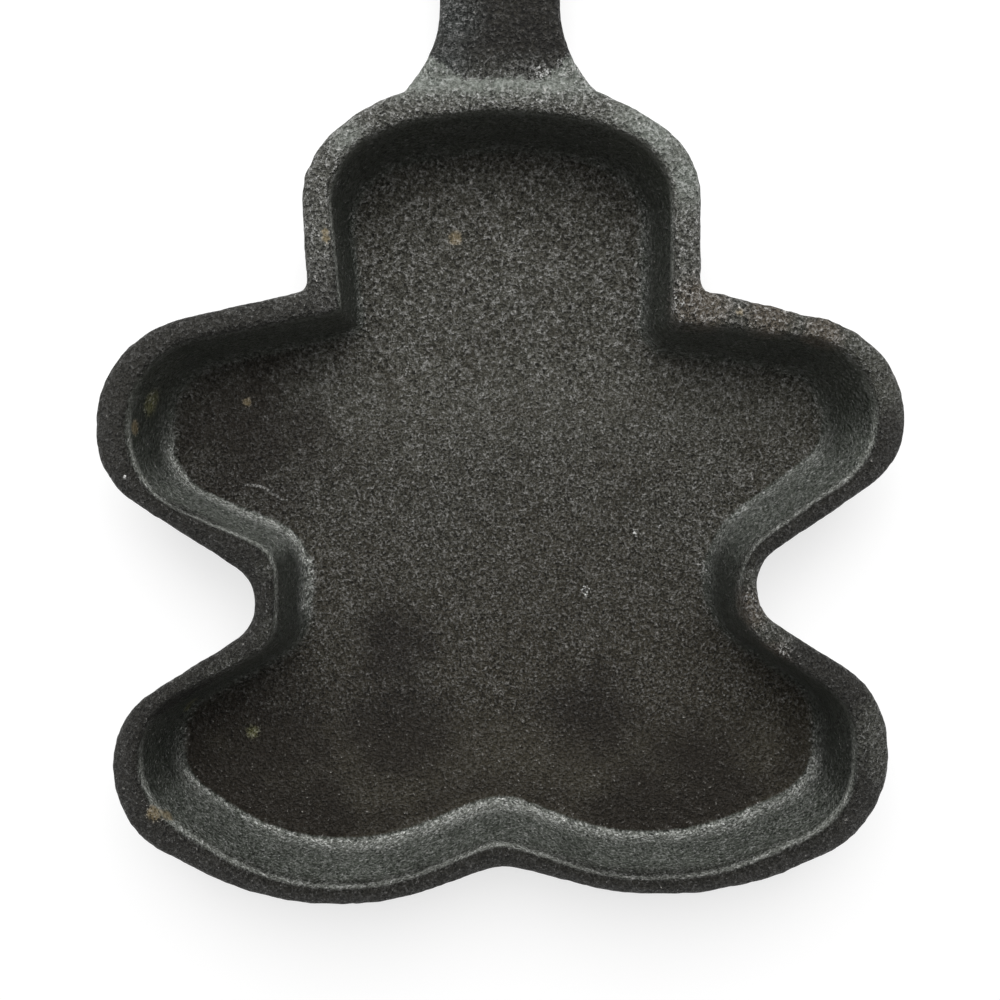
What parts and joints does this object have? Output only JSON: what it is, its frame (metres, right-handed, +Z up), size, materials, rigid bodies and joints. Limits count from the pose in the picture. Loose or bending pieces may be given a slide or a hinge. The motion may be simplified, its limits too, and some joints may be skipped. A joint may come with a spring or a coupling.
{
  "type": "mini skillet",
  "caption": "Small cast-iron skillet with a figure-shaped pan, upright walls, a rounded rim and a flat handle with a hanging hole.",
  "frame": {"origin": "on the flat underside, on the figure's middle line and halfway up the pan's nominal body, between its arms and legs", "axes": "+Y from the pan along the handle, +Z up out of the pan, +X to the right when the pan is seen from above with the handle away"},
  "size_m": [0.127, 0.2235, 0.0219],
  "materials": {
    "seasoned_iron": "rough sand-cast iron with a dark, slightly glossy seasoning"
  },
  "bodies": {
    "root": {"skillet_casting": "seasoned_iron"}
  },
  "joints": []
}
